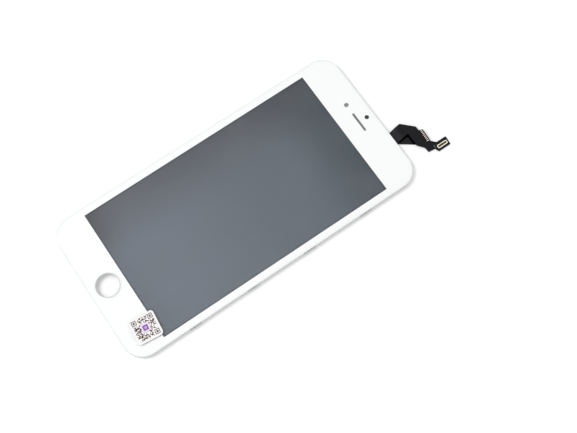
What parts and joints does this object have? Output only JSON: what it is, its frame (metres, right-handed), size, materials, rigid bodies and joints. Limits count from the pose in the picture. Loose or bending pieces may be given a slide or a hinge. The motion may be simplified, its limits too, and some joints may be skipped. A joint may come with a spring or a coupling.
{
  "type": "phone lcd screen assembly",
  "caption": "Flat phone display assembly: white-bordered cover glass bonded over a liquid crystal module in a clipped frame, with a black flex circuit and socket at the top edge.",
  "frame": {"origin": "on the flat back of the steel rear plate, under the middle of the cover glass", "axes": "+X to the right seen from the front, +Y towards the earpiece along the length, +Z out of the front of the glass"},
  "size_m": [0.076, 0.1778, 0.0033],
  "materials": {
    "cover_glass": "polished, clear",
    "white_print": "white screen print on the back of the glass",
    "sensor_ink": "dark ink that passes infrared light",
    "clear_adhesive": "clear cured adhesive",
    "polariser": "dark film",
    "cell_glass": "thin drawn glass",
    "silicon": "bare chip, mirror-smooth",
    "optical_film": "milky film",
    "acrylic": "clear moulded sheet",
    "reflector": "silvered white film",
    "circuit_film": "amber film with copper tracks",
    "lamp_body": "moulded lamp with yellow filling",
    "holder_plastic": "white moulded plastic",
    "foam": "closed-cell foam",
    "steel_plate": "rolled stainless sheet",
    "frame_plastic": "white moulded plastic, fine satin",
    "black_tape": "black adhesive tape",
    "clip_steel": "folded spring steel",
    "brass_insert": "turned brass",
    "mesh_steel": "etched mesh",
    "clear_plastic": "clear moulded plastic",
    "black_cover_film": "black film over copper, low sheen",
    "gold": "gold plating",
    "shell_gold": "pale gold plating",
    "connector_plastic": "dark moulded plastic",
    "ceramic": "fired chip part with tinned ends",
    "label_paper": "coated white paper label with brown and lilac print"
  },
  "bodies": {
    "root": {"cover_glass": "cover_glass", "border_print": "white_print", "sensor_window_ink": "sensor_ink", "optical_adhesive": "clear_adhesive", "front_polariser": "polariser", "colour_filter_glass": "cell_glass", "array_glass": "cell_glass", "driver_chip": "silicon", "rear_polariser": "polariser", "upper_prism_film": "optical_film", "lower_prism_film": "optical_film", "diffuser_film": "optical_film", "light_guide": "acrylic", "reflector_film": "reflector", "light_strip": "circuit_film", "lights": "lamp_body", "backlight_frame": "holder_plastic", "force_sensor": "circuit_film", "sensor_gasket": "foam", "rear_plate": "steel_plate", "mid_frame": "frame_plastic", "frame_adhesive": "black_tape", "side_clips": "clip_steel", "top_hooks": "clip_steel", "screw_lugs": "clip_steel", "bracket_inserts": "brass_insert", "earpiece_mesh": "mesh_steel", "earpiece_gasket": "foam", "camera_ring": "clear_plastic", "sensor_bracket": "clear_plastic", "display_flex": "black_cover_film", "touch_flex": "black_cover_film", "bond_pads": "gold", "flex_stiffener": "steel_plate", "connector_housing": "connector_plastic", "connector_shell": "shell_gold", "connector_contacts": "gold", "flex_capacitors": "ceramic", "label_sticker": "label_paper"}
  },
  "joints": []
}
